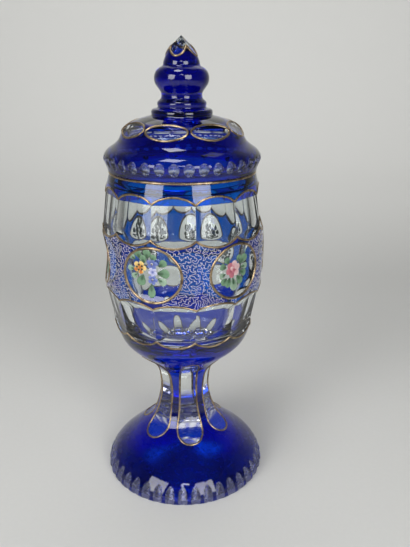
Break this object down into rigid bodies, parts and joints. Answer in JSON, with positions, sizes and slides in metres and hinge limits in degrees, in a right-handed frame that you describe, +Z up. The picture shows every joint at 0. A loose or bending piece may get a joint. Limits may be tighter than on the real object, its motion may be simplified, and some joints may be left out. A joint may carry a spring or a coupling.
{
  "type": "covered glass goblet jar",
  "caption": "Tall footed glass jar with a domed lift-off cover: clear crystal cased in cobalt blue, cut into panels, windows and flutes, with gilded edges and enamelled posies.",
  "frame": {"origin": "centre of the ring that the foot stands on", "axes": "+Z up along the jar's axis; -Y faces the middle of a medallion; lengths in metres"},
  "size_m": [0.1254, 0.1254, 0.33],
  "materials": {
    "crystal": "clear, cut and polished",
    "cobalt_glass": "fused cobalt blue layer, polished",
    "gilding": "fired gold, burnished",
    "enamel": "fired enamel, satin"
  },
  "bodies": {
    "goblet": {"bowl_crystal": "crystal", "stem_crystal": "crystal", "foot_crystal": "crystal", "rim_collar": "cobalt_glass", "medallion_belt": "cobalt_glass", "bowl_cup": "cobalt_glass", "foot_casing": "cobalt_glass", "rim_gilding": "gilding", "collar_gilding": "gilding", "belt_upper_gilding": "gilding", "belt_lower_gilding": "gilding", "cup_gilding": "gilding", "medallion_gilding_1": "gilding", "medallion_gilding_2": "gilding", "medallion_gilding_3": "gilding", "medallion_gilding_4": "gilding", "medallion_gilding_5": "gilding", "medallion_gilding_6": "gilding", "stem_gilding_1": "gilding", "stem_gilding_2": "gilding", "stem_gilding_3": "gilding", "stem_gilding_4": "gilding", "stem_gilding_5": "gilding", "stem_gilding_6": "gilding", "posy_1": "enamel", "posy_2": "enamel", "posy_3": "enamel", "posy_4": "enamel", "posy_5": "enamel", "posy_6": "enamel"},
    "cover": {"cover_crystal": "crystal", "finial_core": "crystal", "cover_casing": "cobalt_glass", "finial_casing": "cobalt_glass", "finial_gilding": "gilding", "cover_window_gilding_1": "gilding", "cover_window_gilding_2": "gilding", "cover_window_gilding_3": "gilding", "cover_window_gilding_4": "gilding", "cover_window_gilding_5": "gilding", "cover_window_gilding_6": "gilding", "cover_window_gilding_7": "gilding", "cover_window_gilding_8": "gilding"}
  },
  "joints": [
    {"name": "cover_lift", "type": "slide", "parent": "goblet", "child": "cover", "axis": [0, 0, 1], "range_m": [0, 0.1]}
  ]
}
